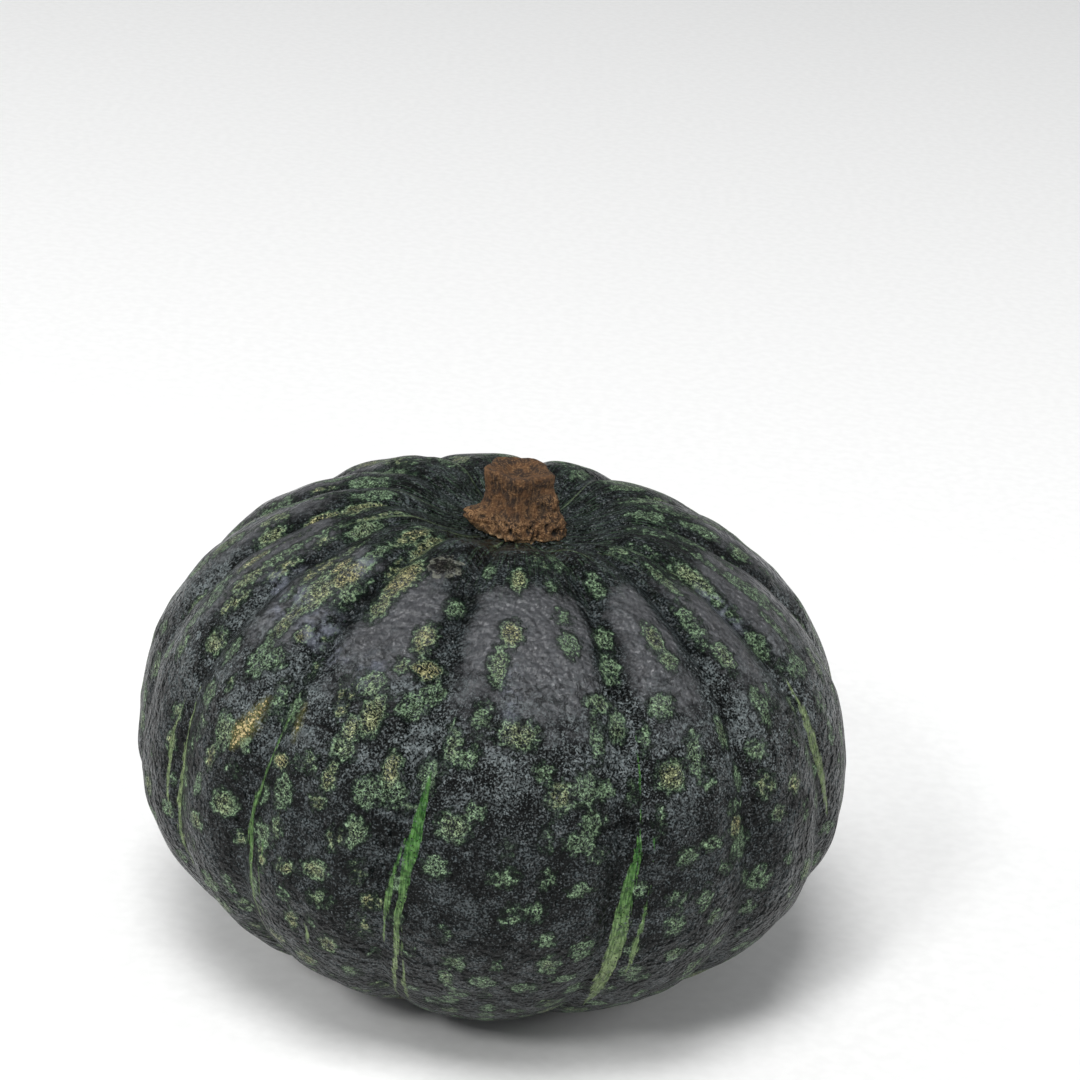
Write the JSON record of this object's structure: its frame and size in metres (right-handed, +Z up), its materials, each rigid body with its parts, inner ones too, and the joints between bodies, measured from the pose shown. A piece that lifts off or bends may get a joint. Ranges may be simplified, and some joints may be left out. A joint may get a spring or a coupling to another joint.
{
  "type": "kabocha squash",
  "caption": "Squat, ribbed, dark green winter squash standing on its blossom end, with a short corky stem stump in the hollow of its crown.",
  "frame": {"origin": "on the surface the squash stands on, under the middle of its bounding box", "axes": "+Z up, from the blossom end to the crown and stem; -Y is the front, the side turned to the viewer; +X is the viewer's right"},
  "size_m": [0.1788, 0.179, 0.132],
  "materials": {
    "rind": "satin",
    "cork": "matte"
  },
  "bodies": {
    "root": {"fruit": "rind", "stem": "cork"}
  },
  "joints": []
}
